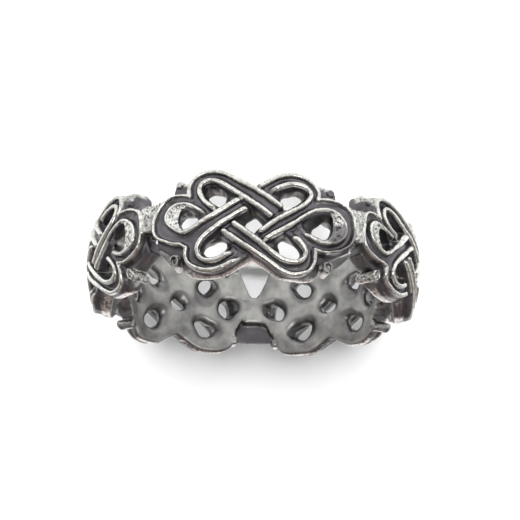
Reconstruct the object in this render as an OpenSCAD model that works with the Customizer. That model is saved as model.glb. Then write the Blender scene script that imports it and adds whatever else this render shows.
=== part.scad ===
// Sennit ring: a finger ring cast in one piece. Five interlaced knot panels of double-railed ribbon
// stand side by side around the bore, pierced between the ribbons, and are tied by small bridges.
// Millimetres. The ring lies flat: the bore runs along Z and its centre is the origin.
// The first panel's centre faces -Y.

/* [Ring] */
// Diameter of the finger hole
bore_diameter = 17.4; // [16:0.1:20]
// Diameter over the tops of the rails
outer_diameter = 21.2; // [19.5:0.1:24]
// Number of knot panels around the ring
panels = 5; // [5:1:5]
// Radial height of the rails above the groove floors
relief = 0.42; // [0.2:0.02:0.6]

/* [Knot] */
// Slope of the four straight ribbons from the ring's plane, in degrees
slope = 33.5; // [31:0.5:36]
// Distance from the panel's centre to each corner lobe's centre
lobe_reach = 3.0; // [2.8:0.05:3.2]
// Distance from the panel's centre to each straight ribbon's centre line
ribbon_offset = 1.19; // [1.1:0.01:1.3]
// Width of a ribbon over both rails
ribbon_width = 0.86; // [0.7:0.02:1]
// Width of one rail
rail_width = 0.21; // [0.15:0.01:0.28]
// Length of the dip in a ribbon on each side of the ribbon that crosses over it
dip_length = 0.26; // [0.1:0.02:0.4]
// Depth of that dip below the rails' tops
dip_depth = 0.22; // [0.1:0.02:0.4]

/* [Side lobes] */
// Distance along the outer surface from the panel's centre to each side lobe's centre
side_arc = 4.7; // [4.6:0.02:4.8]
// Outer radius of a side lobe
side_radius = 1.64; // [1.5:0.02:1.7]
// Outer radius of the inner rail of a side lobe
side_inner_rail = 1.2; // [1.1:0.01:1.25]
// Distance along the outer surface from the panel's centre to each side eye's centre
eye_arc = 3.76; // [3.6:0.02:3.9]
// Radius of a side eye, the opening beside the crescent
eye_radius = 0.92; // [0.8:0.01:0.98]
// Depth of the crescent's field below the rails' tops
crescent_depth = 0.16; // [0.05:0.01:0.3]

/* [Pegs and bridges] */
// Diameter of a peg
peg_diameter = 0.64; // [0.5:0.02:0.8]
// Distance along the outer surface from the panel's centre to each peg
peg_arc = 4.62; // [4.4:0.02:4.8]
// Height of each peg from the ring's middle plane
peg_height = 2.3; // [2.1:0.02:2.5]
// Diameter of the cup in a peg's outer end
cup_diameter = 0.34; // [0.2:0.02:0.4]
// Drop of the pegs' outer ends below the rails' tops
peg_drop = 0.3; // [0.1:0.02:0.6]
// Height of a bridge along the bore
bridge_height = 1.7; // [1:0.05:2]
// Drop of the bridges below the rails' tops
bridge_drop = 0.5; // [0.2:0.02:0.9]

/* [Hidden] */
$fn = 96;
eps = 0.02;
r_bore = bore_diameter / 2;
r_top = outer_diameter / 2;
r_floor = r_top - relief;
pitch = 360 / panels;
start = -90;
r_foot = r_bore - 0.6;
r_over = r_top + 0.6;
half_w = ribbon_width / 2;
half_g = half_w - rail_width;
cross_x = ribbon_offset / sin(slope);
cross_y = ribbon_offset / cos(slope);
side_turn = side_arc / r_top * 180 / PI;
eye_shift = eye_arc - side_arc;
peg_turn = peg_arc / r_top * 180 / PI;
ring_height = 2 * (lobe_reach * sin(slope) + ribbon_offset + half_w);

// Sets a plane shape, drawn across and up, as a prism along the radius at an angle about the bore.
module radial(turn, from, to) {
  rotate([0, 0, turn])
    rotate([90, 0, 90])
      translate([0, 0, from])
        linear_extrude(to - from)
          children();
}

// A bar with round ends along one loop's length, at a distance all round from its spine.
module loop_area(side, reach) {
  rotate([0, 0, side * slope]) {
    square([2 * lobe_reach, 2 * reach], center = true);
    for (s = [-1, 1])
      translate([s * lobe_reach, 0])
        circle(reach);
  }
}

module loop_band(side, inner, outer) {
  difference() {
    loop_area(side, outer);
    loop_area(side, inner);
  }
}

// A short length of a straight ribbon at one of the four crossings.
module ribbon_piece(at, side, width) {
  translate(at)
    rotate([0, 0, side * slope])
      square([2.2, width], center = true);
}

// The falling loop passes over at the top and the bottom crossing, the rising loop at the sides.
module over_pieces(side, width) {
  if (side > 0) {
    ribbon_piece([cross_x, 0], 1, width);
    ribbon_piece([-cross_x, 0], 1, width);
  } else {
    ribbon_piece([0, cross_y], -1, width);
    ribbon_piece([0, -cross_y], -1, width);
  }
}

module knot_outline() {
  for (side = [-1, 1])
    loop_band(side, ribbon_offset - half_w, ribbon_offset + half_w);
}

// Both loops' grooves, each stopped where the other loop's ribbon lies over it.
module knot_grooves() {
  for (side = [-1, 1])
    difference() {
      loop_band(side, ribbon_offset - half_g, ribbon_offset + half_g);
      over_pieces(-side, ribbon_width - eps);
    }
}

// The short dips in a ribbon on both sides of the one that crosses over it.
module knot_dips() {
  for (side = [-1, 1])
    intersection() {
      difference() {
        over_pieces(-side, ribbon_width + 2 * dip_length);
        over_pieces(-side, ribbon_width - 3 * eps);
      }
      loop_band(side, ribbon_offset - half_w - 0.1, ribbon_offset + half_w + 0.1);
    }
}

// A drop shape: the side lobe's inner rail runs on straight into the two ribbons.
module drop_shape(side, radius) {
  apex = side_arc - radius / sin(slope);
  circle(radius);
  polygon([
    [side * (apex - side_arc), 0],
    [-side * radius * sin(slope), radius * cos(slope)],
    [-side * radius * sin(slope), -radius * cos(slope)]
  ]);
}

module side_outline(side) {
  difference() {
    circle(side_radius);
    translate([side * eye_shift, 0])
      circle(eye_radius);
  }
}

module side_groove(side) {
  difference() {
    circle(side_radius - rail_width);
    drop_shape(side, side_inner_rail);
  }
}

module side_field(side) {
  circle(side_inner_rail - rail_width);
}

// What ties a peg to the two lobes beside it.
module web_shape(side, up) {
  polygon([
    [side * -1.15, up * 1.0],
    [side * 0.35, up * 1.2],
    [side * 0.3, up * peg_height],
    [side * -0.4, up * (peg_height + 0.2)],
    [side * -1.0, up * (peg_height - 0.2)]
  ]);
}

module panel_body(turn) {
  radial(turn, r_foot, r_over)
    knot_outline();
  for (side = [-1, 1])
    radial(turn + side * side_turn, r_foot, r_over)
      side_outline(side);
}

module panel_cuts(turn) {
  difference() {
    union() {
      radial(turn, r_foot, r_over + 1)
        knot_grooves();
      for (side = [-1, 1])
        radial(turn + side * side_turn, r_foot, r_over + 1)
          side_groove(side);
    }
    cylinder(h = 20, r = r_floor, center = true);
  }
  difference() {
    radial(turn, r_foot, r_over + 1)
      knot_dips();
    cylinder(h = 20, r = r_top - dip_depth, center = true);
  }
  difference() {
    for (side = [-1, 1])
      radial(turn + side * side_turn, r_foot, r_over + 1)
        side_field(side);
    cylinder(h = 20, r = r_top - crescent_depth, center = true);
  }
}

module peg(turn, side, up) {
  rotate([0, 0, turn + side * peg_turn])
    translate([r_foot, 0, up * peg_height])
      rotate([0, 90, 0])
        difference() {
          cylinder(h = r_top - peg_drop - r_foot, d = peg_diameter);
          translate([0, 0, r_top - peg_drop - r_foot - 0.22])
            cylinder(h = 1, d = cup_diameter);
        }
}

module web(turn, side, up) {
  intersection() {
    radial(turn + side * side_turn, r_foot, r_over)
      web_shape(side, up);
    cylinder(h = 20, r = r_top - peg_drop - 0.25, center = true);
  }
}

module bridge(turn) {
  intersection() {
    radial(turn, r_foot, r_over)
      square([1.3, bridge_height], center = true);
    cylinder(h = 20, r = r_top - bridge_drop, center = true);
  }
}

module panel(turn) {
  difference() {
    intersection() {
      panel_body(turn);
      cylinder(h = 20, r = r_top, center = true);
    }
    panel_cuts(turn);
  }
}

module knot_ring() {
  color([0.78, 0.77, 0.76])
    difference() {
      union() {
        for (i = [0 : panels - 1]) {
          panel(start + i * pitch);
          bridge(start + (i + 0.5) * pitch);
        }
        for (i = [0 : panels - 1], side = [-1, 1], up = [-1, 1]) {
          peg(start + i * pitch, side, up);
          web(start + i * pitch, side, up);
        }
      }
      cylinder(h = 20, r = r_bore, center = true);
    }
}

knot_ring();
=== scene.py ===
"""Sennit ring: the cast ring's visual model around its CAD frame. Metres, in the row frame.

Each panel's knot is drawn as lines in a plan: across and up in ring radii, seen from outside. The plans give
a signed field on a grid that goes round the ring, negative in the metal. Its zero surface becomes one mesh
for each panel.
"""

import math

import bpy
import numpy as np
from mathutils import Matrix, Vector


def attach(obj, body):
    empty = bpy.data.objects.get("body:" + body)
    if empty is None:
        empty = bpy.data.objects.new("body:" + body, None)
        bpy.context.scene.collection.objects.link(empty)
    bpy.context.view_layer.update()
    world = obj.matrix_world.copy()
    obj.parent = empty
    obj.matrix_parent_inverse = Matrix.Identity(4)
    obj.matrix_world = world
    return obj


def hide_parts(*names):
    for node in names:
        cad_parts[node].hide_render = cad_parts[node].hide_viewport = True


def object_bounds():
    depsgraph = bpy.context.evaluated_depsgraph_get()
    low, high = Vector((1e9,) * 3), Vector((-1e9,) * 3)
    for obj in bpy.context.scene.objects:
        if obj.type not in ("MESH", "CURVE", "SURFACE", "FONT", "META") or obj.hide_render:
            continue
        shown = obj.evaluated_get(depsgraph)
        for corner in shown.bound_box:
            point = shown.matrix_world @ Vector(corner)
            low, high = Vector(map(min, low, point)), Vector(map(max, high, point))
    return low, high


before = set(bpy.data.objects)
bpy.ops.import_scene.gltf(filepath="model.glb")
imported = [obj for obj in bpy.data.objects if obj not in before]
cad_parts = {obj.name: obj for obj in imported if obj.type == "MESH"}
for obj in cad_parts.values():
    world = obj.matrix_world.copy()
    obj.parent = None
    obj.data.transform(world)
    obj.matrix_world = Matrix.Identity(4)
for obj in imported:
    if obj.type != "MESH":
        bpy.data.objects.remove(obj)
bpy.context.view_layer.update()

# Sizes, in metres
R = 10.6e-3  # over the rails' tops
DISTANCE = 8.82 * R  # the camera's, from the ring's middle

# The ring's panels, counted to the picture's right
PANELS = 5
PITCH = 2 * math.pi / PANELS
FRONT, RIGHT, BACK, LEFT = 0, 1, (2, 3), 4

# Sizes, in ring radii
BORE = 8.7 / 10.6
RAIL = 0.0155  # radius of a strip rail's round top
LOBE_RAIL = 0.0118  # of a corner lobe's rail
RIM = 0.0095  # of the crescents' rims
THIN_RAIL = 0.0078  # of the side lobes' outer rails
FLOOR = 1 - 0.038  # the grooves' floor
FLANGE = 0.024  # how far the base stands out from an outer rail's middle
FIELD = 1 - 0.010  # the crescents' granulated field
BRIDGE = 1 - 0.014  # the bridges' outer face
BRIDGE_V, BRIDGE_H = 0.040, 0.082  # the bridges' middle and half their height
BRIDGE_HALF = 0.08  # half a bridge's width
SHADE_WEB_REACH = 0.160  # the dark web in the gap at the back, painted shade that stands in for the shade there: how far it goes from the seam
SHADE_WEB_V, SHADE_WEB_H = -0.140, 0.095  # its middle and half its height
SHADE_WEB_LEVEL, SHADE_WEB_THICK = 0.905, 0.02  # the radius of its middle, and half its thickness
PEG_END = 1 - 0.010  # the pegs' outer ends
PEG, TOP_PEG = 0.031, 0.026  # radii of the pegs low and high in the picture
CUP, CUP_DEPTH = 0.019, 0.025  # the cups in the low pegs' ends
PEG_LEAN, PEG_LEVEL = 0.50, 0.97  # how much the low pegs lean, and the radius at which they are in place
BORE_ROUND = 0.030  # the rounded edge of everything at the bore
EDGE_ROUND = 0.016  # and at the band's edges
CROWN = 0.65  # how fast the outside falls away from the band's middle, with the height squared
OVAL = 0.033  # how much wider the ring is at its sides than in front
HALF_BAND = 0.3255  # nothing stands out further than this from the band's middle
MIDDLE = 0.018  # the band's middle above the height that the rails were read from
CAMERA_ANGLE = math.radians(17.76)  # to the ring's plane

# The grid that the metal is worked out on: round the ring, along the bore, and outward
STEPS_U = 226  # columns of a panel
WHOLE = STEPS_U * PANELS
DU = PITCH / STEPS_U
V_REACH = 0.345
U = (np.arange(STEPS_U) - STEPS_U / 2) * DU
V = np.arange(-V_REACH, V_REACH + DU, DU)
RR = np.arange(BORE - 0.03, 1.055, DU)  # clear of the rails' tops where the oval is widest
UU, VV = np.meshgrid(U, V, indexing="ij")
TO_SEAM = np.minimum(np.abs(UU - PITCH / 2), np.abs(UU + PITCH / 2))
FAR = 9.0  # further than any distance in the ring

# Each rail's middle line on the outer surface: across and up in ring radii, seen from outside. The points are
# set one by one.
RAILS = {
    "top_left": [
        (-.372, .150), (-.377, .185), (-.370, .225), (-.345, .262), (-.300, .287), (-.245, .296),
        (-.190, .288), (-.140, .268), (-.090, .241), (-.040, .215), (.010, .188), (.060, .158),
        (.110, .125), (.160, .090),
    ],
    "top_left_inner": [
        (-.200, .045), (-.235, .078), (-.275, .110), (-.303, .150), (-.312, .190), (-.298, .224),
        (-.262, .241), (-.220, .237), (-.175, .217), (-.128, .187), (-.080, .156), (-.030, .126),
        (.020, .094), (.065, .063), (.105, .031),
    ],
    "top_right": [
        (.378, .150), (.382, .190), (.365, .225), (.335, .252), (.290, .275), (.240, .284),
        (.190, .280), (.140, .263), (.090, .235), (.040, .203),
    ],
    "top_right_inner": [
        (.025, -.080), (.066, -.048), (.106, -.016), (.156, .018), (.206, .049), (.256, .080),
        (.300, .112), (.330, .150), (.333, .184), (.305, .214), (.252, .229), (.200, .222),
        (.150, .201), (.105, .176),
    ],
    "right_upper": [
        (.072, -.113), (.114, -.085), (.164, -.055), (.214, -.023), (.264, .013), (.313, .051),
        (.362, .081), (.411, .097), (.460, .101), (.506, .086), (.546, .052), (.562, .005),
        (.550, -.040), (.515, -.073), (.470, -.091),
    ],
    "right_lower": [
        (.550, -.040), (.515, -.073), (.470, -.091), (.420, -.098), (.370, -.088), (.325, -.066),
        (.285, -.035),
    ],
    "right_outer": [
        (.378, .150), (.430, .157), (.480, .158), (.530, .150), (.575, .130), (.604, .100),
        (.620, .058), (.624, .010), (.616, -.038), (.594, -.078), (.555, -.110), (.510, -.132),
        (.460, -.146), (.415, -.150), (.366, -.145),
    ],
    "bottom_right": [
        (.366, -.145), (.368, -.190), (.358, -.232), (.328, -.274), (.280, -.297), (.230, -.306),
        (.180, -.296), (.130, -.267), (.080, -.230), (.030, -.197), (-.020, -.163), (-.070, -.129),
        (-.112, -.099), (-.170, -.057),
    ],
    "bottom_right_inner": [
        (.195, -.045), (.235, -.075), (.272, -.108), (.300, -.140), (.312, -.175), (.298, -.206),
        (.265, -.227), (.220, -.233), (.175, -.225), (.135, -.202), (.090, -.168), (.040, -.127),
        (-.010, -.088), (-.060, -.050), (-.105, -.017),
    ],
    "bottom_left": [
        (-.388, -.148), (-.392, -.195), (-.375, -.235), (-.340, -.261), (-.290, -.280), (-.240, -.286),
        (-.190, -.279), (-.140, -.258), (-.090, -.230), (-.040, -.202),
    ],
    "bottom_left_inner": [
        (-.034, .075), (-.074, .050), (-.124, .019), (-.174, -.011), (-.224, -.044), (-.270, -.078),
        (-.304, -.114), (-.321, -.153), (-.314, -.192), (-.285, -.220), (-.238, -.230), (-.190, -.220),
        (-.142, -.190), (-.108, -.165),
    ],
    "left_lower": [
        (-.060, .135), (-.110, .104), (-.160, .073), (-.210, .043), (-.260, .016), (-.305, -.010),
        (-.345, -.038), (-.380, -.056), (-.412, -.062), (-.442, -.051), (-.470, -.032), (-.504, -.004),
        (-.520, .034), (-.510, .066), (-.490, .090),
    ],
    "left_upper": [
        (-.520, .034), (-.510, .066), (-.490, .090), (-.455, .109), (-.415, .112), (-.370, .100),
        (-.330, .077), (-.288, .048),
    ],
    "left_outer": [
        (-.372, .150), (-.420, .162), (-.470, .164), (-.520, .146), (-.562, .108), (-.592, .060),
        (-.604, .010), (-.598, -.040), (-.568, -.076), (-.525, -.100), (-.475, -.120), (-.425, -.128),
        (-.388, -.148),
    ],
}
# The strip of ribbon that passes over at each crossing: its two rails with the range across of each, and the
# rails that pass under it, each with the distance from the strip at which its end sinks.
OVER = {
    "top": (("top_left", -.12, .11), ("top_left_inner", -.12, .058),
            {"left_lower": .014, "bottom_left_inner": .032, "top_right": .010, "top_right_inner": .046}),
    "right": (("top_right_inner", .085, .25), ("right_upper", .13, .30),
              {"top_left": .020, "top_left_inner": .016, "right_lower": .075, "bottom_right_inner": .052}),
    "bottom": (("bottom_right", -.10, .07), ("bottom_right_inner", -.06, .10),
               {"right_upper": .020, "top_right_inner": .030, "bottom_left": .072,
                "bottom_left_inner": .066}),
    "left": (("left_lower", -.305, -.125), ("bottom_left_inner", -.26, -.09),
             {"bottom_right": .020, "bottom_right_inner": .014, "left_upper": .034, "top_left_inner": .026}),
}
# The openings, seen from outside: across, up, half sizes, tilt in degrees; at their necks and at the bore.
NECKS = [(-.241, .138, .066, .050, -11), (.252, .134, .078, .045, 22), (-.236, -.163, .074, .046, 18),
         (.245, -.168, .085, .054, -20), (.013, -.026, .058, .041, 1), (-.420, -.008, .072, .057, -18),
         (.472, -.023, .084, .050, 16)]
MOUTHS = [(-.232, .084, .098, .080, -11), (.232, .108, .100, .064, 22), (-.240, -.160, .108, .068, 18),
          (.228, -.160, .114, .074, -20), (.002, .002, .076, .055, 1), (-.425, -.009, .084, .074, -18),
          (.455, -.015, .094, .064, 16)]
NECK_R = 0.895  # where the openings are narrowest


def spline(points, steps=8):
    """A smooth line through the points."""
    p = np.array(points, float)
    q = np.vstack([2 * p[0] - p[1], p, 2 * p[-1] - p[-2]])
    t = np.linspace(0, 1, steps, endpoint=False)[:, None]
    out = []
    for a, b, c, d in zip(q[:-3], q[1:-2], q[2:-1], q[3:]):
        square, cube = 2 * a - 5 * b + 4 * c - d, 3 * b - a - 3 * c + d
        out.append(0.5 * (2 * b + (c - a) * t + square * t**2 + cube * t**3))
    out.append(p[-1:])
    return np.vstack(out)


def line_distance(u, v, line):
    """Distance from each point of the field to a polyline."""
    best = np.full(u.shape, FAR)
    for (ax, ay), (bx, by) in zip(line[:-1], line[1:]):
        dx, dy = bx - ax, by - ay
        t = np.clip(((u - ax) * dx + (v - ay) * dy) / (dx * dx + dy * dy + 1e-12), 0, 1)
        np.minimum(best, (u - ax - t * dx) ** 2 + (v - ay - t * dy) ** 2, out=best)
    return np.sqrt(best)


def area_distance(u, v, outline):
    """Signed distance to a closed outline, negative inside."""
    ring = np.vstack([outline, outline[:1]])
    inside = np.zeros(u.shape, bool)
    for (ax, ay), (bx, by) in zip(ring[:-1], ring[1:]):
        if ay == by:
            continue
        inside ^= ((ay > v) != (by > v)) & (u < (bx - ax) * (v - ay) / (by - ay) + ax)
    d = line_distance(u, v, ring)
    return np.where(inside, -d, d)


def soft_min(a, b, k):
    """The smaller of two values, rounded over the width k where they are alike."""
    h = np.clip(0.5 + 0.5 * (b - a) / k, 0, 1)
    return b * (1 - h) + a * h - k * h * (1 - h)


def soft_max(a, b, k):
    return -soft_min(-a, -b, k)


def smooth(x, lo, hi):
    """From 0 at lo to 1 at hi, with no corners."""
    t = np.clip((x - lo) / (hi - lo), 0, 1)
    return t * t * (3 - 2 * t)


def band(*lines):
    """Lines one after another, as an outline."""
    return np.vstack(lines)


def lattice(rng, cells, across):
    """Random numbers for sample(): cells of them round the ring, and across in the two other directions."""
    return rng.standard_normal((cells,) + across).astype(np.float32)


def sample(noise, x, y, z):
    """Smooth noise from a lattice: x wraps round, y and z are clamped. All in lattice cells."""
    n0, n1, n2 = noise.shape
    out = 0
    ix, iy, iz = (np.floor(c).astype(int) for c in (x, y, z))
    fx, fy, fz = x - ix, y - iy, z - iz
    fx, fy, fz = (c * c * (3 - 2 * c) for c in (fx, fy, fz))
    for i in (0, 1):
        wx = fx if i else 1 - fx
        for j in (0, 1):
            wy = fy if j else 1 - fy
            for k in (0, 1):
                wz = fz if k else 1 - fz
                corner = noise[(ix + i) % n0, np.clip(iy + j, 0, n1 - 1), np.clip(iz + k, 0, n2 - 1)]
                out = out + wx * wy * wz * corner
    return out


def surface(turn, v):
    """Radius of the rails' tops at an angle round the ring and a height."""
    return 1 + OVAL * np.sin(turn) ** 2 - CROWN * v * v


def crowned(points):
    """Rail points read on a plain cylinder, moved so that they look the same on the crowned surface."""
    out = []
    for u, v in points:
        drop = 1 - surface(u, v)
        out.append((u * (1 + drop), v + drop * math.tan(CAMERA_ANGLE) - MIDDLE))
    return out


LINE = {name: spline(crowned(points)) for name, points in RAILS.items()}


def cut(name, low, high):
    """The part of a rail between two places across."""
    line = LINE[name]
    return line[(line[:, 0] >= low) & (line[:, 0] <= high)]


def smooth_ring(points, steps=8):
    """A smooth closed line through the points."""
    return spline(crowned(points + points[:3]), steps)[steps:-2 * steps]


def plan():
    """The plate's areas: outline, and the crossings that it dips under."""
    c = crowned
    # the names tell where each area is; the low ones lie under the strips beside the crescents
    return {
        "top_left": (band(LINE["top_left"], LINE["top_left_inner"][::-1]), ("right", "left")),
        "bottom_right": (band(LINE["bottom_right"], LINE["bottom_right_inner"][::-1]), ("right", "left")),
        "top_right": (band(LINE["top_right"][::-1], cut("right_upper", 0, .32)[::-1], LINE["top_right_inner"],
                           c([(.090, .140), (.020, .182)])),
                      ("top", "bottom")),
        "bottom_left": (band(LINE["bottom_left"][::-1], cut("left_lower", -.35, 0)[::-1],
                             LINE["bottom_left_inner"], c([(-.085, -.120), (.0, -.176)])),
                        ("top", "bottom")),
        "right": (band(LINE["right_outer"], c([(.285, -.035), (.262, -.005), (.313, .051)])), ()),
        "left": (band(LINE["left_outer"], c([(-.345, -.040), (-.275, .005), (-.288, .043)])), ()),
        "right_low": (band(c([(.15, .045), (.24, -.002)]), LINE["right_lower"][::-1][:18],
                           c([(.42, -.15), (.366, -.145), (.300, -.140), (.272, -.108), (.235, -.075),
                              (.195, -.045), (.140, -.010)])), ("right",)),
        "left_low": (band(c([(-.16, -.045), (-.24, .003)]), LINE["left_upper"][::-1][:18],
                          c([(-.42, .16), (-.372, .15), (-.303, .150), (-.275, .110), (-.235, .078),
                             (-.200, .045), (-.150, .012)])), ("left",)),
    }


# The dark fillings between the lobes at the top and the bottom crossing.
FILLS = [
    crowned([
        (-.12, .262), (-.02, .195), (.05, .165), (.09, .225), (.03, .232), (-.05, .250),
    ]),
    crowned([
        (-.14, -.262), (-.04, -.19), (.0, -.155), (.09, -.215), (.12, -.252), (.05, -.232),
        (-.02, -.222), (-.08, -.240),
    ]),
]
# In each side lobe: the eye, where the plate's outside is cut away. The crescent is the rest of its drop.
EYES = {
    "right": [
        (.292, .010), (.320, .042), (.355, .066), (.400, .082), (.440, .084), (.468, .062),
        (.478, .020), (.476, -.025), (.460, -.060), (.428, -.080), (.385, -.081), (.345, -.066),
        (.312, -.042),
    ],
    "left": [
        (-.300, .028), (-.325, .055), (-.365, .080), (-.400, .084), (-.428, .060), (-.440, .018),
        (-.432, -.022), (-.408, -.046), (-.375, -.045), (-.338, -.022), (-.308, .000),
    ],
}
PEGS = [(-.454, .228), (.468, .196), (-.474, -.226), (.462, -.238)]  # on the crowned surface
# The dark webs that carry the pegs in the corners between the lobes: outline and outer level.
WEBS = [
    ([
        (-.372, .10), (-.372, .20), (-.394, .213), (-.415, .241), (-.456, .256), (-.488, .250),
        (-.492, .216), (-.496, .165), (-.50, .12),
    ], 1 - .030),
    ([
        (.372, .10), (.372, .235), (.391, .241), (.431, .237), (.478, .232), (.508, .212),
        (.511, .172), (.520, .14), (.50, .12),
    ], 1 - .030),
    ([
        (-.38, -.10), (-.545, -.09), (-.605, -.095), (-.600, -.135), (-.550, -.170), (-.515, -.195),
        (-.480, -.208), (-.450, -.214), (-.415, -.226), (-.385, -.232), (-.37, -.22),
    ], 1 - .050),
    ([
        (.37, -.12), (.55, -.09), (.61, -.08), (.622, -.130), (.544, -.165), (.500, -.188),
        (.472, -.206), (.440, -.224), (.405, -.236), (.375, -.240), (.35, -.24),
    ], 1 - .050),
]
WEB_CLEAR = dict(zip(BACK, (.150, .135)))  # how far from the seam between them the back's low webs stop
WEB_EXTRA = {(RIGHT, 0): .018, (LEFT, 1): .034, (LEFT, 3): .018, (RIGHT, 2): -.018}  # how much wider some are
DIP_LENGTH, DIP_FLOOR = 0.036, 0.014  # how far from the strip over it a groove dips, and how deep
SHALLOW, DEEP = 0.020, 0.034  # how far the end of a rail sinks: over a short way, or a long one
SHORT_SINK = 0.028
STRIP_EDGE, PLATE_EDGE = 0.014, 0.010  # how far a strip and the plate reach beyond the rails' middles
WARP = .0022  # how far each panel's lines wander
UNDER = {rail: [c for c, (_, _, rails) in OVER.items() if rail in rails] for rail in RAILS}
AREAS = plan()
HULL = band(cut("top_left", -1, .02), cut("top_right", .05, 1)[::-1], LINE["right_outer"],
            cut("bottom_right", 0, 1), cut("bottom_left", -1, -.05)[::-1], LINE["left_outer"][::-1])
EYE_LINES = {name: smooth_ring(points) for name, points in EYES.items()}
DROPS = {"right": band(cut("right_upper", .26, .6), LINE["right_lower"][16:]),
         "left": band(cut("left_lower", -.6, -.30), LINE["left_upper"][16:])}


def first_run(name, low, high):
    """The first unbroken part of a rail between two places across."""
    line = LINE[name]
    at = np.flatnonzero((line[:, 0] >= low) & (line[:, 0] <= high))
    stop = np.flatnonzero(np.diff(at) > 1)
    return line[at[:stop[0] + 1] if len(stop) else at]


def strip_outline(name):
    one, other, _ = OVER[name]
    a, b = first_run(*one), first_run(*other)
    if np.hypot(*(a[-1] - b[0])) > np.hypot(*(a[-1] - b[-1])):
        b = b[::-1]
    return band(a, b)


STRIP_LINES = {name: strip_outline(name) for name in OVER}


def bent(k, u, v):
    """Where a place of panel k lies in the plan: each cast panel is a little out of shape."""
    u, v = u.copy(), v.copy()
    window = 1 - smooth(np.abs(u), .52, .625)
    if k == RIGHT:  # its upper left loop is pulled out and its left end drawn in
        near = 1 - smooth(u, -.15, .35)
        pull = .055 * np.exp(-((v - .11) / .07) ** 2 - ((u + .27) / .14) ** 2)
        pull = pull - .034 * (1 - smooth(u, -.60, -.50))
        pull = pull + .020 * window
        u, v = u - (.010 - .25 * v) * window * near + pull, v - (-.010 - .08 * v) * window * near
    if k == LEFT:  # its right end is drawn in
        near = smooth(u, -.35, .15)
        pull = .032 * smooth(u, .25, .50) + .014 * smooth(u, .52, .60)
        u, v = u - (-.012 - .06 * v) * window * near + pull, v + .007 * window * near
    rng = np.random.default_rng(20 + k)
    for _ in range(3):
        a, b, c, d = rng.uniform(3, 9), rng.uniform(4, 14), rng.uniform(0, 6.3), rng.uniform(0, 6.3)
        u = u + WARP * window * np.sin(a * u + b * v + c)
        v = v + WARP * window * np.sin(b * u - a * v + d)
    return u, v


def holes(u, v, ellipses):
    """Distance to the nearest of some wobbly ellipses, negative inside."""
    best = None
    for hu, hv, a, b, tilt in ellipses:
        c, n = math.cos(math.radians(tilt)), math.sin(math.radians(tilt))
        x, y = (u - hu) * c + (v - hv) * n, (v - hv) * c - (u - hu) * n
        d = (np.sqrt((x / a) ** 2 + (y / b) ** 2) - 1) * b
        angle = np.arctan2(y, x)
        for waves, amount, start in ((3, 0.0045, 40 * hu), (5, 0.0020, 90 * hv)):
            d = d + amount * np.sin(waves * angle + start)
        best = d if best is None else np.minimum(best, d)
    return best


def panel_fields(k):
    """Signed distances in the plan of panel k."""
    u, v = bent(k, UU, VV)
    out = {"u": u, "v": v}
    out["rail"] = {name: line_distance(u, v, line) for name, line in LINE.items()}
    out["strip"] = {name: area_distance(u, v, line) - STRIP_EDGE for name, line in STRIP_LINES.items()}
    wide = smooth(np.abs(u), .20, .40)
    out["wire"] = {}  # the rails' radii
    for name in RAILS:
        if name.endswith("_outer"):
            wire = THIN_RAIL
        else:
            wire = RAIL + ((RIM if name.startswith(("right", "left")) else LOBE_RAIL) - RAIL) * wide
        out["wire"][name] = wire + 0 * u
    out["eye"] = {name: area_distance(u, v, line) for name, line in EYE_LINES.items()}
    out["neck"], out["mouth"] = holes(u, v, NECKS), holes(u, v, MOUTHS)
    out["drop"] = {name: area_distance(u, v, line) for name, line in DROPS.items()}
    out["hull"] = area_distance(u, v, HULL)
    strip = out["strip"]
    # the plate's edge and its grooves' floors, near the outside
    outer = None
    height = np.full(UU.shape, -FAR)
    for outline, under in AREAS.values():
        d = area_distance(u, v, outline)
        outer = d if outer is None else soft_min(outer, d, 0.006)
        h = np.full(UU.shape, FLOOR)
        for crossing in under:
            h = h - DIP_FLOOR * (1 - smooth(strip[crossing], 0.0, DIP_LENGTH))
        np.maximum(height, np.where(d < 0.012, h, -FAR), out=height)
    for name in EYES:
        outer = soft_max(outer, -out["eye"][name] + 0.010, 0.01)
        lip = smooth(-out["drop"][name], 0.0, 0.012) * smooth(np.abs(u), .31, .37)
        height = np.maximum(height, np.where(out["drop"][name] < 0.004, FLOOR + (FIELD - FLOOR) * lip, -FAR))
    height[height < 0] = FLOOR - DIP_FLOOR
    out["outer"], out["height"] = outer - PLATE_EDGE, height
    out["fill"] = np.minimum(*(area_distance(u, v, np.array(fill)) for fill in FILLS))
    out["webs"] = [area_distance(u, v, np.array(outline)) for outline, _ in WEBS]
    # how high each rail's top is, and where the rail is left out, under the strips over it
    out["top"], out["gone"] = {}, {}
    for name in RAILS:
        top, gone = np.ones(UU.shape), np.full(UU.shape, -FAR)
        for crossing in UNDER[name]:
            length = OVER[crossing][2][name]
            depth = SHALLOW if length < SHORT_SINK else DEEP
            top = top - depth * (1 - smooth(strip[crossing], 0.5 * length, 1.4 * length))
            np.maximum(gone, -strip[crossing] - 0.004, out=gone)
        out["top"][name], out["gone"][name] = top, gone
    top, low = bridge_span(k)
    out["bridge"] = np.minimum(top - VV, VV - low)
    return out


def sample_rows(field, x):
    """The field at fractional places along its first axis."""
    x = np.clip(x, 0, field.shape[0] - 1.001)
    i = x.astype(int)
    j = np.arange(field.shape[1])[None, :]
    return field[i, j] * (1 - (x - i)) + field[i + 1, j] * (x - i)


def bridge_span(k):
    """The bridges' top and bottom over panel k. The one between the front and the right reaches lower."""
    right = smooth(UU, -.1, .1)
    deeper = right if k == FRONT else 1 - right if k == RIGHT else 0
    top = BRIDGE_V + BRIDGE_H + 0 * UU
    if k in BACK:  # a rounded notch at the back
        seam = (PITCH / 2 - UU) if k == BACK[0] else (UU + PITCH / 2)
        top = np.where(seam < .17, 0.012 + 2.0 * (seam ** 4 + .035 ** 4) ** .25, top)
    return top, BRIDGE_V - BRIDGE_H - 0.036 * deeper - (0.060 if k in BACK else 0) + 0 * UU


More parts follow.
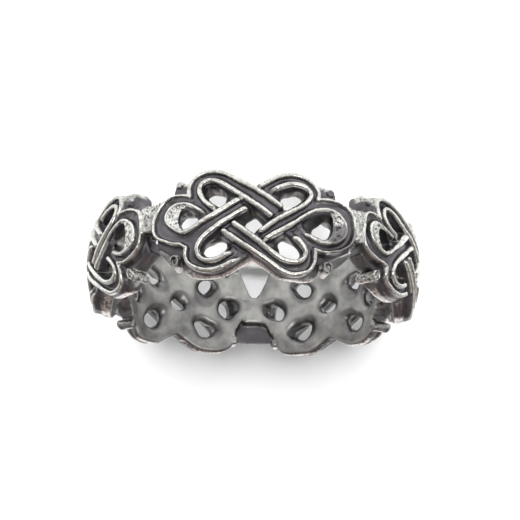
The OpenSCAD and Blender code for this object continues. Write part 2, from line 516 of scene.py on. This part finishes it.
def plate_solid(k, p, z):
    """Panel k's pierced plate, from the openings' mouths at the bore to the grooves' floors."""
    past = (RR[None, None, :] - OVAL * np.sin(UU + k * PITCH)[:, :, None] ** 2 - BORE) / (NECK_R - BORE)
    neck = 1 - (1 - np.clip(past, 0, 1)) ** 2
    opening = p["mouth"][:, :, None] * (1 - neck) + p["neck"][:, :, None] * neck
    share = smooth(RR, NECK_R - .02, .97)[None, None, :]
    # toward the bore the corner lobes are wider, the side lobes narrower, and the low lobes' walls spread
    inset = -0.020 + 0.040 * smooth(np.abs(p["u"]), .46, .54)
    spread = 0.9 * smooth(-VV, .05, .12) * (1 - smooth(np.abs(UU), .44, .54))
    places = np.arange(STEPS_U)[:, None]
    walls = np.stack([sample_rows(p["hull"] + inset, places - spread * (.97 - r) * UU / DU) for r in RR], 2)
    plate = soft_max(walls, -opening, 0.026) * (1 - share) + p["outer"][:, :, None] * share
    # the base stands out below the lower outer rails
    reach = 0.002 + (FLANGE - 0.011) * smooth(-p["v"], .16, .23)
    tuck = 0.012 - 0.004 * smooth(-p["v"], .16, .23)  # but not at the bore
    stand = reach[:, :, None] * (1 - smooth(z, 1 - .062, 1 - .046)) \
        - tuck[:, :, None] * (1 - smooth(RR, BORE, BORE + .05))[None, None, :]
    plate = plate - stand * smooth(p["hull"], -0.02, 0.0)[:, :, None]
    return soft_max(plate, z - p["height"][:, :, None], 0.008)


def rail_solid(p, z):
    """A panel's rails: round on top, each with a stem below that widens to the plate."""
    rails = None
    for name, d in p["rail"].items():
        width = p["wire"][name]
        t = z - (p["top"][name] - width)[:, :, None]
        wire = np.sqrt(d[:, :, None] ** 2 + t * t) - width[:, :, None]
        stem = np.maximum((d - width)[:, :, None] + 0.002 + 0.25 * t, t)
        one = soft_min(wire, stem, 0.004)
        one = np.maximum(one, p["gone"][name][:, :, None])
        rails = one if rails is None else np.minimum(rails, one)
    return np.maximum(rails, (FLOOR - 0.03) - z)


def corner_solid(k, p, z):
    """Panel k's pegs, the webs that join them to the lobes, and the fillings at two crossings."""
    parts = np.full(z.shape, FAR)
    for pu, pv in PEGS:
        # the lower ones lean, except at the back, and have a cup in the outer end
        slant = (PEG_LEVEL - RR)[None, None, :] * (PEG_LEAN if pv < 0 and k not in BACK else 0)
        d = np.hypot(p["u"][:, :, None] - pu * (1 + slant), p["v"][:, :, None] - pv * (1 + .8 * slant))
        rod = soft_max(d - (TOP_PEG if pv > 0 else PEG), z - PEG_END, 0.012)
        if pv < 0:
            rod = soft_max(rod, -np.maximum(d - CUP, (PEG_END - CUP_DEPTH) - z), 0.006)
        parts = np.minimum(parts, rod)
    for i, (d, (_, level)) in enumerate(zip(p["webs"], WEBS)):
        d = d - WEB_EXTRA.get((k, i), 0)
        if k in BACK and i > 1:
            d = soft_max(d, WEB_CLEAR[k] - TO_SEAM, 0.01)
        parts = soft_min(parts, soft_max(d[:, :, None], z - level, 0.016), 0.008)
    return np.minimum(parts, soft_max(p["fill"][:, :, None], z - (1 - .085), 0.02))


def panel_solid(k, p):
    """The signed field of panel k on its grid: negative in the metal."""
    crown = surface(UU + k * PITCH, VV) - 1
    z = RR[None, None, :] - crown[:, :, None]  # radius as on a plain cylinder
    f = soft_min(plate_solid(k, p, z), rail_solid(p, z), 0.018)
    parts = corner_solid(k, p, z)
    # half a bridge at each end; outside, it ends at the panel's outline
    top, low = bridge_span(k)
    wide = BRIDGE_HALF + (0.06 * smooth(VV, .05, .08) if k in BACK else 0)
    bridge = np.maximum(TO_SEAM - wide, np.maximum(VV - top, low - VV))[:, :, None]
    bridge = np.maximum(bridge, np.where(z > 1 - .05, -p["hull"][:, :, None] - 0.002, -FAR))
    bridge = soft_max(bridge, z - BRIDGE, 0.012)
    if k in BACK:  # the gap at the back is closed by a thin recessed web: dark metal put as painted shade where the gap shows shade; the gaps beside the front have none
        side = 1 if k == BACK[0] else -1
        shade_web = np.maximum(PITCH / 2 - side * UU - SHADE_WEB_REACH, np.abs(VV - SHADE_WEB_V) - SHADE_WEB_H)[:, :, None]
        parts = np.minimum(parts, soft_max(shade_web, np.abs(z - SHADE_WEB_LEVEL) - SHADE_WEB_THICK, 0.012))
    parts = soft_min(parts, bridge, 0.035)
    return soft_min(f, parts, 0.012)


# The surface's unevenness: cells round the ring, the lattice's size across, cells a ring radius along the
# bore and outward, and how far it stands out. The last is only on the granulated fields.
UNEVEN = [(130, (16, 8), (18, 22), 0.0011),
          (420, (48, 16), (64, 60), 0.0008),
          (300, (34, 12), (47, 46), 0.0060)]
DENT_CELLS, DENT_DEPTH = 52, 0.0050  # the casting dents in the bore


def granulated(p):
    """Where a panel is granulated, from 0 to 1: on its crescents and its half bridges."""
    crescents = np.maximum(*(smooth(-p["drop"][name], 0.006, 0.014) * smooth(p["eye"][name], .002, .014)
                             for name in EYES))
    return np.maximum(crescents, smooth(p["hull"], 0.004, 0.014) * smooth(p["bridge"], -0.02, 0.0))


def whole_field(plans):
    """The signed field of the whole ring, with its unevenness, its bore and the band's edges."""
    rng = np.random.default_rng(7)
    lattices = [lattice(rng, cells, across) for cells, across, _, _ in UNEVEN]
    full = np.empty((WHOLE, len(V), len(RR)), np.float32)
    vi = (V + V_REACH)[None, :, None]
    ri = (RR - RR[0])[None, None, :]
    outer = smooth(RR, FIELD - 0.10, FIELD - 0.07)[None, None, :]
    for k, p in enumerate(plans):
        field = panel_solid(k, p)
        where = (1, 1, granulated(p)[:, :, None] * outer)
        u = (U + (k + 0.5) * PITCH)[:, None, None]
        for noise, share, (cells, _, (along, out), height) in zip(lattices, where, UNEVEN):
            uneven = sample(noise, u / (2 * math.pi) * cells, vi * along + 0 * u, ri * out + 0 * u)
            field = field + height * share * uneven
        full[k * STEPS_U:(k + 1) * STEPS_U] = field
    u = (np.arange(WHOLE) + 0.5)[:, None, None] * DU
    dents = sample(lattice(rng, DENT_CELLS, (9, 2)), u / (2 * math.pi) * DENT_CELLS, vi * 9 + 0 * u,
                   0 * vi + 0 * u + 0.5)
    r = RR[None, None, :] - DENT_DEPTH * np.clip(dents + 1, 0, 3)
    oval = OVAL * np.sin((np.arange(WHOLE) - STEPS_U / 2) * DU) ** 2
    full = soft_max(full, (np.abs(V) - HALF_BAND)[None, :, None] + 0 * full, EDGE_ROUND)
    return soft_max(full, BORE + oval[:, None, None] - r + 0 * full, BORE_ROUND).astype(np.float32)


# The four cells round an edge of the grid, in order, for an edge along each axis.
ROUND_EDGE = [[(0, 0, 0), (0, 1, 0), (0, 1, 1), (0, 0, 1)],
              [(-1, 0, 0), (-1, 0, 1), (0, 0, 1), (0, 0, 0)],
              [(-1, 0, 0), (0, 0, 0), (0, 1, 0), (-1, 1, 0)]]


def surface_nets(f):
    """Vertices, in grid steps, and quads of the field's zero surface. The first axis wraps round."""
    n0 = f.shape[0]
    g = np.concatenate([f, f[:1]], 0)
    neg = g < 0
    places = [(i, j, k) for i in (0, 1) for j in (0, 1) for k in (0, 1)]
    cells = [g[i:i + n0, j:g.shape[1] - 1 + j, k:g.shape[2] - 1 + k] for i, j, k in places]
    count = sum((c < 0).astype(np.int8) for c in cells)
    mixed = (count > 0) & (count < 8)
    where = np.argwhere(mixed)
    vals = np.stack([c[mixed] for c in cells], 1).astype(np.float64)
    corners = np.array(places, float)
    total, hits = np.zeros((len(vals), 3)), np.zeros(len(vals))
    for a in range(8):
        for axis, bit in ((0, 4), (1, 2), (2, 1)):
            if a & bit:
                continue
            b = a | bit
            crosses = (vals[:, a] < 0) != (vals[:, b] < 0)
            t = np.where(crosses, vals[:, a] / (vals[:, a] - vals[:, b] + 1e-30), 0)
            p = corners[a] + t[:, None] * (corners[b] - corners[a])
            total += np.where(crosses[:, None], p, 0)
            hits += crosses
    verts = where + total / hits[:, None]
    index = np.full(mixed.shape, -1, np.int32)
    index[mixed] = np.arange(len(where), dtype=np.int32)
    ends = ((neg[:n0, 1:-1, 1:-1], neg[1:n0 + 1, 1:-1, 1:-1]),
            (neg[:n0, :-1, 1:-1], neg[:n0, 1:, 1:-1]),
            (neg[:n0, 1:-1, :-1], neg[:n0, 1:-1, 1:]))
    quads = []
    for (a, b), cells_round in zip(ends, ROUND_EDGE):
        i, j, k = np.argwhere(a != b).T
        flip = a[a != b]
        q = np.stack([index[(i + di) % n0, j + dj, k + dk] for di, dj, dk in cells_round], 1)
        q[~flip] = q[~flip][:, ::-1]
        quads.append(q)
    return verts, np.vstack(quads)


def gradient_at(f, verts):
    """The field's slope at each vertex, in its three grid directions."""
    n0, n1, n2 = f.shape
    base = np.floor(verts).astype(int)
    frac = verts - base
    out = np.zeros((len(verts), 3))
    step = np.eye(3, dtype=int)

    def value(p):
        return f[p[:, 0] % n0, np.clip(p[:, 1], 0, n1 - 1), np.clip(p[:, 2], 0, n2 - 1)]

    for i in (0, 1):
        for j in (0, 1):
            for k in (0, 1):
                w = np.abs(1 - i - frac[:, 0]) * np.abs(1 - j - frac[:, 1]) * np.abs(1 - k - frac[:, 2])
                p = base + (i, j, k)
                for axis in range(3):
                    out[:, axis] += w * (value(p + step[axis]) - value(p - step[axis]))
    return out


def in_largest(quads):
    """Which quads belong to the largest part. Parts hang together by edges that just two quads share."""
    ends = np.sort(np.stack([quads, np.roll(quads, -1, 1)], 2).astype(np.int64), 2)
    keys = ends[..., 0] * (int(quads.max()) + 1) + ends[..., 1]
    _, edges, uses = np.unique(keys, return_inverse=True, return_counts=True)
    edges = edges.reshape(-1, 4)
    paired = uses[edges] == 2
    alone = edges.max() + 1 + np.arange(len(edges))
    own = np.where(paired, edges, alone[:, None]).min(1)
    edges = np.where(paired, edges, own[:, None])
    label = np.arange(edges.max() + 1)
    while True:
        low = label[edges].min(1)
        new = label.copy()
        for edge in edges.T:
            np.minimum.at(new, label[edge], low)
            np.minimum.at(new, edge, low)
        new = new[new]
        if np.array_equal(new, label):
            part = label[edges[:, 0]]
            return part == np.bincount(part).argmax()
        label = new


PLANS = [panel_fields(k) for k in range(PANELS)]
METAL = whole_field(PLANS)  # the signed field
VERTS, QUADS = surface_nets(METAL)
QUADS = QUADS[in_largest(QUADS)]  # without loose crumbs and closed bubbles

THETA = (VERTS[:, 0] * DU) - PITCH / 2
HEIGHT = V[0] + VERTS[:, 1] * DU
RADIUS = RR[0] + VERTS[:, 2] * DU
# across to the picture's right is -X at the panel that faces -Y, and up in the picture is -Z
XYZ = np.stack([-RADIUS * np.sin(THETA), -RADIUS * np.cos(THETA), -HEIGHT], 1) * R
ALONG = np.stack([-np.cos(THETA), np.sin(THETA), 0 * THETA], 1)
OUTWARD = np.stack([-np.sin(THETA), -np.cos(THETA), 0 * THETA], 1)
SLOPE = gradient_at(METAL, VERTS)
NORMAL = SLOPE[:, :1] * ALONG / RADIUS[:, None] + SLOPE[:, 2:] * OUTWARD \
    + SLOPE[:, 1:2] * np.array([0, 0, -1.0])
NORMAL /= np.linalg.norm(NORMAL, axis=1)[:, None]


def at_vertices(of):
    """The value at each vertex of a field of the plans, which of gives for one panel's plan."""
    values = np.concatenate([of(p) for p in PLANS], 0)
    x, y = VERTS[:, 0], VERTS[:, 1]
    i, j = np.floor(x).astype(int), np.floor(y).astype(int)
    fx, fy = x - i, y - j
    i1, j1 = (i + 1) % WHOLE, np.minimum(j + 1, values.shape[1] - 1)
    i = i % WHOLE
    return (values[i, j] * (1 - fx) * (1 - fy) + values[i1, j] * fx * (1 - fy) + values[i, j1] * (1 - fx) * fy
            + values[i1, j1] * fx * fy)


def finishes():
    """The finish of each vertex, from 0 to 1: polished, granulated, bare inside, and worn at an edge; painted
    highlights are added to the first two, and painted shade is taken from them.
    """
    hull, mouth, u, v = (at_vertices(lambda p: p[key]) for key in ("hull", "mouth", "u", "v"))
    drop = at_vertices(lambda p: np.minimum(p["drop"]["right"], p["drop"]["left"]))
    level = RADIUS - (surface(THETA, HEIGHT) - 1)  # radius as on a plain cylinder
    panel = np.floor(VERTS[:, 0] / STEPS_U).astype(int) % PANELS
    slant = np.where(np.isin(panel, BACK), 0, PEG_LEAN * (PEG_LEVEL - RADIUS))
    peg = np.minimum.reduce([np.hypot(u - a * (1 + slant * (b < 0)), v - b * (1 + .8 * slant * (b < 0)))
                             for a, b in PEGS])
    outward = NORMAL[:, 0] * OUTWARD[:, 0] + NORMAL[:, 1] * OUTWARD[:, 1]
    facing = NORMAL[:, 2]  # 1 where the metal faces down in the picture
    side = smooth(np.abs(np.sin(THETA)), .50, .85)
    # polished: the rails' tops; a painted highlight: bare metal on the upper pegs' sides that face up in the
    # picture; and painted shade: less bare on the lower part of the front's right crescent
    # painted shade: the lower part of the front's right crescent is darkened, as if turned from the light
    painted_shade_crescent = smooth(u, .445, .475) * smooth(-v, -.012, .010) * (np.abs(THETA) < PITCH / 2)
    polish_and_painted_light = smooth(level, 1 - .030 + .005 * side, 1 - .014 + .003 * side) * (1 - .75 * painted_shade_crescent) \
        * smooth(-hull, -.018, -.010) * smooth(drop, -.010, -.002)
    rod = smooth(-peg, -.044, -.036) * smooth(level, .84, .87)
    # painted highlight: bare metal on the upper pegs' sides that face up in the picture
    polish_and_painted_light = np.maximum(polish_and_painted_light, rod * smooth(-facing, .20, .60) * smooth(-level, -.995, -.985) * (v > 0))
    # granulated: the crescents, the bridges and the lower pegs, less on the lower part of the front's right
    # crescent, which is painted shade; and a painted highlight: a bare granulated band along the upper webs'
    # tops
    grains_and_painted_light = (1 - .85 * painted_shade_crescent) * smooth(-drop, 0.002, 0.010) \
        * smooth(level, FIELD - .030, FIELD - .012) * smooth(outward, 0.2, 0.6)
    bridge = smooth(hull, 0.010, 0.020) * smooth(level, BRIDGE - .03, BRIDGE - .01) \
        * smooth(outward, 0.2, 0.6) * smooth(at_vertices(lambda p: p["bridge"]), -.012, .004) \
        * (1 - .16 * smooth(THETA, .45, .60) * (THETA < 1))
    # painted highlight: a bare band along the tops of the upper webs
    painted_highlight_v = np.where((panel == RIGHT) | (panel == LEFT), .216, .206)
    painted_highlight_web = 0.85 * smooth(v - painted_highlight_v, 0, .014) * smooth(hull, 0.002, 0.010) * smooth(level, .90, .93)
    lower_rod = np.where(v < 0, np.where((u > 0) | (side > .1), .95, .60), 0) * rod
    lower_rod *= 1 - .60 * smooth(-np.cos(THETA), .0, .45)
    # bare: the wall of the bore
    depth = RADIUS - OVAL * np.sin(THETA) ** 2
    inner = smooth(-depth, -(BORE + .035), -(BORE + .012)) * smooth(-outward, 0.5, 0.8)
    inner *= 0.45 + 0.55 * smooth(mouth, .004, .030)
    inner = np.maximum(inner, 0.45 * smooth(-level, -.955, -.93) * smooth(-hull, 0, .01))
    # worn: the base's ledges beside the rails; and a little bare metal on the walls that face down in the
    # picture
    edge = smooth(hull, -0.006, 0.004) * smooth(-level, -(1 - .040), -(1 - .055)) * (1 - inner) * (1 - bridge)
    edge *= np.where(panel == FRONT, smooth(np.abs(HEIGHT), .200, .235) * smooth(np.abs(facing), .45, .70),
                     smooth(np.abs(HEIGHT), .236, .258) * smooth(np.abs(facing), .79, .93))
    wall = smooth(hull, 0, .010) * smooth(facing, .20, .45) * smooth(-level, -.955, -.935) \
        * (1 - inner) * (1 - bridge)
    return {"polish_and_painted_light": polish_and_painted_light,
            "grains_and_painted_light": np.maximum.reduce([grains_and_painted_light, bridge, painted_highlight_web, lower_rod]),
            "inner": inner,
            "edge": np.maximum(edge, .14 * wall)}


FINISHES = finishes()


def link_object(name, data):
    """A new object in the scene."""
    obj = bpy.data.objects.new(name, data)
    bpy.context.scene.collection.objects.link(obj)
    return obj


def group_mesh(name, faces):
    """A mesh object of some of the quads, with smooth normals from the field and its finish as attributes."""
    used = np.unique(faces)
    new = np.full(len(VERTS), -1, np.int64)
    new[used] = np.arange(len(used))
    f = new[faces]
    mesh = bpy.data.meshes.new(name)
    mesh.vertices.add(len(used))
    mesh.vertices.foreach_set("co", XYZ[used].astype(np.float32).ravel())
    mesh.loops.add(f.size)
    mesh.loops.foreach_set("vertex_index", f.astype(np.int32).ravel())
    mesh.polygons.add(len(f))
    mesh.polygons.foreach_set("loop_start", np.arange(0, f.size, 4, dtype=np.int32))
    mesh.update(calc_edges=True)
    mesh.validate()
    mesh.polygons.foreach_set("use_smooth", np.ones(len(mesh.polygons), bool))
    for key, values in FINISHES.items():
        mesh.attributes.new(key, "FLOAT", "POINT").data.foreach_set("value", values[used].astype(np.float32))
    mesh.normals_split_custom_set_from_vertices(NORMAL[used].astype(np.float32))
    return link_object(name, mesh)


# The material: dark oxide in the hollows, bare silver where the finishes say so, which includes painted
# highlights and painted shade
OXIDE = (0.098, 0.093, 0.101), (0.150, 0.144, 0.154)  # darkest and lightest
BARE_METAL = (0.62, 0.62, 0.58), (0.74, 0.74, 0.705)
EDGE_METAL = (0.90, 0.865, 0.84)
OXIDE_ROUGH, RAIL_ROUGH, EDGE_ROUGH, INNER_ROUGH, GRAIN_ROUGH = 0.40, 0.22, 0.40, 0.45, 0.32
BROAD, MOTTLE, SPECK, PITS = 700, 2600, 6000, 6800  # the noises' scales, a metre
FINE_BUMP, GRAIN_BUMP = 0.00002, 0.00008  # in metres


def set_stops(ramp, stops):
    """Gives a colour ramp its stops: place, and a grey or a colour."""
    while len(ramp.elements) > 1:
        ramp.elements.remove(ramp.elements[-1])
    for i, (place, colour) in enumerate(stops):
        stop = ramp.elements.new(place) if i else ramp.elements[0]
        stop.position = place
        stop.color = (*colour, 1) if isinstance(colour, tuple) else (colour, colour, colour, 1)


def silver():
    """The one material: its finish, with its painted highlights and painted shade, is mixed by the meshes'
    attributes.
    """
    mat = bpy.data.materials.new("oxidised_silver")
    mat.use_nodes = True
    nt = mat.node_tree
    for n in list(nt.nodes):
        nt.nodes.remove(n)
    new, link = nt.nodes.new, nt.links.new

    def fill(socket, x):
        """Links a socket, or sets it to a number or a colour."""
        if isinstance(x, tuple):
            socket.default_value = (*x, 1)
        elif isinstance(x, (int, float)):
            socket.default_value = x
        else:
            link(x, socket)

    def attribute(name):
        n = new("ShaderNodeAttribute")
        n.attribute_name = name
        return n.outputs["Fac"]

    def math_node(op, a, b, clamp=False):
        n = new("ShaderNodeMath")
        n.operation = op
        n.use_clamp = clamp
        fill(n.inputs[0], a)
        fill(n.inputs[1], b)
        return n.outputs[0]

    def noise(scale, detail, rough=0.55, distort=0.0):
        n = new("ShaderNodeTexNoise")
        link(coords, n.inputs["Vector"])
        n.inputs["Scale"].default_value = scale
        n.inputs["Detail"].default_value = detail
        n.inputs["Roughness"].default_value = rough
        n.inputs["Distortion"].default_value = distort
        return n.outputs["Fac"]

    def ramp(x, *stops):
        n = new("ShaderNodeValToRGB")
        link(x, n.inputs["Fac"])
        set_stops(n.color_ramp, stops)
        return n.outputs["Color"]

    def mix(f, a, b, kind="RGBA"):
        n = new("ShaderNodeMix")
        n.data_type = kind
        link(f, n.inputs["Factor"])
        first, out = (6, 2) if kind == "RGBA" else (2, 0)  # the sockets of that kind
        fill(n.inputs[first], a)
        fill(n.inputs[first + 1], b)
        return n.outputs[out]

    def largest(*values):
        value = values[0]
        for other in values[1:]:
            value = math_node("MAXIMUM", value, other)
        return value

    coords = new("ShaderNodeTexCoord").outputs["Object"]
    # the first two also carry painted highlights and painted shade
    polish_and_painted_light, grains_and_painted_light, inner, edge = (attribute(name) for name in FINISHES)
    broad = noise(BROAD, 4)
    mottle = noise(MOTTLE, 5, 0.65, 0.4)
    pits = noise(PITS, 3, 0.6)
    speck = noise(SPECK, 4, 0.65)

    # how bare the silver is
    rails = math_node("MULTIPLY", polish_and_painted_light, ramp(speck, (0.36, 0.45), (0.50, 1.0)))
    broken = math_node("MULTIPLY", grains_and_painted_light, ramp(broad, (0.36, 0.62), (0.46, 1.0)))
    spots = math_node("MULTIPLY", broken, ramp(pits, (0.41, 0.03), (0.49, 1.0)))
    inner_patch = math_node("MULTIPLY", inner, ramp(broad, (0.32, 0.26), (0.64, 0.66)))
    edge_patch = math_node("MULTIPLY", edge, ramp(speck, (0.40, 0.30), (0.48, 1.0)))
    bare = math_node("MINIMUM", largest(rails, spots, inner_patch, edge_patch), 1.0, clamp=True)

    oxide = ramp(broad, (0.3, OXIDE[0]), (0.7, OXIDE[1]))
    metal = mix(edge, ramp(broad, (0.25, BARE_METAL[0]), (0.75, BARE_METAL[1])), EDGE_METAL)
    colour = mix(bare, oxide, metal)
    rough = mix(edge, RAIL_ROUGH, EDGE_ROUGH, "FLOAT")
    rough = mix(grains_and_painted_light, mix(inner, rough, INNER_ROUGH, "FLOAT"), GRAIN_ROUGH, "FLOAT")
    rough = mix(bare, OXIDE_ROUGH, rough, "FLOAT")

    fine_bump = new("ShaderNodeBump")
    fine_bump.inputs["Strength"].default_value = 0.35
    fine_bump.inputs["Distance"].default_value = FINE_BUMP
    link(mottle, fine_bump.inputs["Height"])
    grain_bump = new("ShaderNodeBump")
    grain_bump.inputs["Distance"].default_value = GRAIN_BUMP
    link(math_node("MULTIPLY", grains_and_painted_light, 0.9), grain_bump.inputs["Strength"])
    link(pits, grain_bump.inputs["Height"])
    link(fine_bump.outputs[0], grain_bump.inputs["Normal"])

    shader = new("ShaderNodeBsdfPrincipled")
    shader.inputs["Metallic"].default_value = 1.0
    link(colour, shader.inputs["Base Color"])
    link(rough, shader.inputs["Roughness"])
    link(grain_bump.outputs[0], shader.inputs["Normal"])
    out = new("ShaderNodeOutputMaterial")
    link(shader.outputs[0], out.inputs["Surface"])
    return mat


SEAM_REACH, SEAM_ROUNDS = 5, 12  # grid steps on each side of a seam, and how often it is evened out


def short_way(steps):
    """Grid steps round the ring, taken the short way: up to half a turn either way."""
    return (steps + WHOLE / 2) % WHOLE - WHOLE / 2


def panels_of(quads):
    """The panel that each quad goes to, with seams that cut off as few loose scraps as they can."""
    x = VERTS[quads][:, :, 0]
    x = (x[:, 0] + short_way(x - x[:, :1]).mean(1)) % WHOLE
    panel = (x // STEPS_U).astype(int) % PANELS
    for k in range(PANELS):  # the seam after panel k is evened out, so that it cuts off no scraps
        past = short_way(x - (k + 1) * STEPS_U)
        near = np.flatnonzero(np.abs(past) < SEAM_REACH)
        corners, beyond = quads[near], past[near] > 0
        for _ in range(SEAM_ROUNDS):
            of_vertex = np.bincount(corners.ravel(), np.repeat(beyond, 4)) \
                / np.maximum(np.bincount(corners.ravel()), 1)
            share = of_vertex[corners].mean(1)
            beyond = np.where(np.abs(share - .5) < .01, beyond, share > .5)
        panel[near] = (k + beyond) % PANELS
    for k in range(PANELS):  # a scrap that is left goes to the panel beyond the seam that it is nearest to
        mine = np.flatnonzero(panel == k)
        scraps = mine[~in_largest(quads[mine])]
        past = short_way(x[scraps] - (k + .5) * STEPS_U)
        panel[scraps] = (k + np.sign(past).astype(int)) % PANELS
    return panel


SILVER = silver()
PANEL_OF = panels_of(QUADS)
for k in range(PANELS):
    piece = group_mesh(f"ring_panel_{k + 1}", QUADS[PANEL_OF == k])
    piece.data.materials.append(SILVER)
    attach(piece, "root")
    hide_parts("knot_ring")


# The camera: at the photo's angle to the ring, rolled half a turn so that the near panel is up in the picture
FOCAL_PX, CENTRE_PX, FRAME_PX = 1421.0, (253.4, 273.7), 520
SENSOR = 36.0  # in millimetres
ROLL = math.radians(-1.39)
TURN = Matrix.Rotation(math.radians(-0.67), 3, "Z")  # the ring's turn about its axis, made by the camera

cam_data = bpy.data.cameras.new("camera")
cam = link_object("camera", cam_data)
bpy.context.scene.camera = cam
cam_data.sensor_width = SENSOR
cam_data.lens = FOCAL_PX / FRAME_PX * SENSOR
cam_data.shift_x = (FRAME_PX / 2 - CENTRE_PX[0]) / FRAME_PX
cam_data.shift_y = (CENTRE_PX[1] - FRAME_PX / 2) / FRAME_PX
cam_data.clip_start, cam_data.clip_end = 0.001, 10.0
# picture axes in the row frame: right is -X and up is -Z at no elevation
back = Vector((0, -math.cos(CAMERA_ANGLE), math.sin(CAMERA_ANGLE)))
right = Vector((-1, 0, 0))
up = back.cross(right)
rot = TURN @ Matrix((right, up, back)).transposed() @ Matrix.Rotation(-ROLL, 3, "Z")
cam.matrix_world = Matrix.Translation(TURN @ back * DISTANCE + Vector((0, 0, MIDDLE * R))) @ rot.to_4x4()


# The floor
floor_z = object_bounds()[0][2]
HALF_FLOOR = 1.5  # in metres
mesh = bpy.data.meshes.new("floor")
SIDES = ((-1, -1), (1, -1), (1, 1), (-1, 1))
mesh.from_pydata([(x * HALF_FLOOR, y * HALF_FLOOR, floor_z) for x, y in SIDES], [], [(0, 1, 2, 3)])
floor = link_object("floor", mesh)
floor_mat = bpy.data.materials.new("floor")
floor_mat.use_nodes = True
floor_shader = floor_mat.node_tree.nodes["Principled BSDF"]
floor_shader.inputs["Base Color"].default_value = (0.93, 0.93, 0.93, 1)
floor_shader.inputs["Roughness"].default_value = 0.9
floor_shader.inputs["Specular IOR Level"].default_value = 0.0
mesh.materials.append(floor_mat)

# What the metal mirrors, from straight down to straight up: bright, then dim and brown, and bright overhead
SURROUNDINGS = [(0.0, (.72, .72, .72)), (0.25, (.62, .62, .62)), (0.50, (.54, .53, .52)),
                (0.67, (.52, .49, .48)), (0.76, (.25, .20, .175)), (0.82, (.18, .115, .098)),
                (0.92, (.19, .135, .12)), (0.975, (.62, .60, .58)), (1.0, (.75, .73, .71))]
world = bpy.data.worlds.new("world")
bpy.context.scene.world = world
world.use_nodes = True
nodes, join = world.node_tree.nodes, world.node_tree.links.new
split = nodes.new("ShaderNodeSeparateXYZ")
join(nodes.new("ShaderNodeTexCoord").outputs["Generated"], split.inputs[0])
sky = nodes.new("ShaderNodeValToRGB")
join(split.outputs["Z"], sky.inputs["Fac"])
set_stops(sky.color_ramp, SURROUNDINGS)
join(sky.outputs["Color"], nodes["Background"].inputs["Color"])
nodes["Background"].inputs["Strength"].default_value = 1.0
world.cycles_visibility.diffuse = False


def aim(obj, direction):
    """Turns a light to look along a direction."""
    obj.rotation_mode = "QUATERNION"
    obj.rotation_quaternion = direction.to_track_quat("-Z", "Y")


def area_light(name, place, size, power):
    """An oblong light that looks at the ring's middle."""
    data = bpy.data.lights.new(name, "AREA")
    data.shape = "RECTANGLE"
    data.size, data.size_y = size
    data.energy = power
    obj = link_object(name, data)
    obj.location = place
    aim(obj, Vector((0, 0, 0)) - Vector(place))
    return obj


# Two lights that the metal doesn't mirror are for the floor: one close above the ring, and a low sun behind
# the camera. The other two light the metal too: one from the back for its ledges, and a small one in front.
area_light("top", (0, 0, 0.027), (0.012, 0.012), 0.0080).visible_glossy = False
LOW_ANGLE = math.radians(11)  # the low sun's, above the floor
sun_data = bpy.data.lights.new("low", "SUN")
sun_data.energy, sun_data.angle = 17.0, math.radians(9)
sun = link_object("low", sun_data)
aim(sun, Vector((0, math.cos(LOW_ANGLE), -math.sin(LOW_ANGLE))))
sun.visible_glossy = False
area_light("ledges", (0, 0.25, 0.12), (0.30, 0.12), 0.10)
area_light("key", (-0.05, -0.20, 0.10), (0.10, 0.06), 0.12)
bpy.context.scene.view_settings.view_transform = "Standard"
